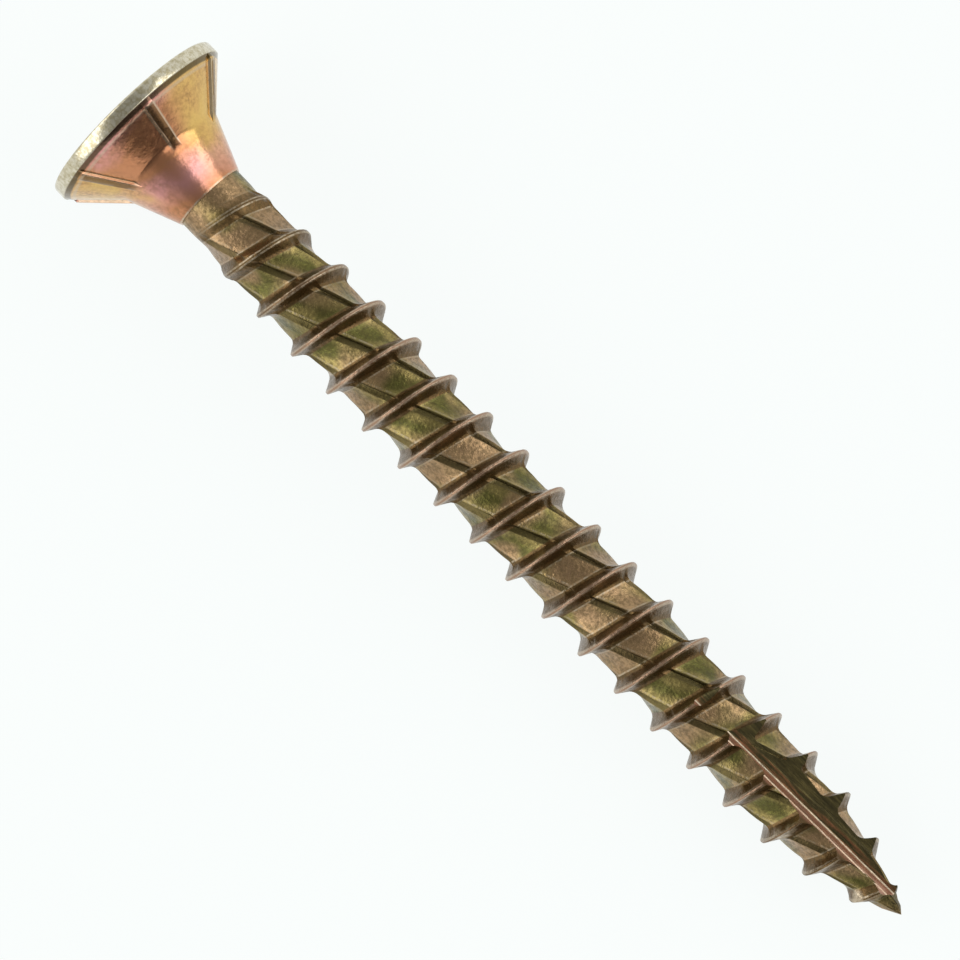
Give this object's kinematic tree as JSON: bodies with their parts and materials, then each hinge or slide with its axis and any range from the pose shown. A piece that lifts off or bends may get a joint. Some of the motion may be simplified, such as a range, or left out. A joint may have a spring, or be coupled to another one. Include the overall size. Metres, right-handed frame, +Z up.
{
  "type": "multi-purpose screw",
  "caption": "Countersunk wood screw with cutter ribs under the head, a cross recess, a coarse full-length thread on a twisted core and a slashed cutting point.",
  "frame": {"origin": "centre of the bounding box on the floor that the screw lies on", "axes": "+X along the screw towards its point, +Z up, +Y across"},
  "size_m": [0.0502, 0.0096, 0.0096],
  "materials": {
    "yellow_zinc_steel": "yellow zinc plating with an iridescent sheen, bright along the thread crests"
  },
  "bodies": {
    "root": {"screw": "yellow_zinc_steel"}
  },
  "joints": []
}
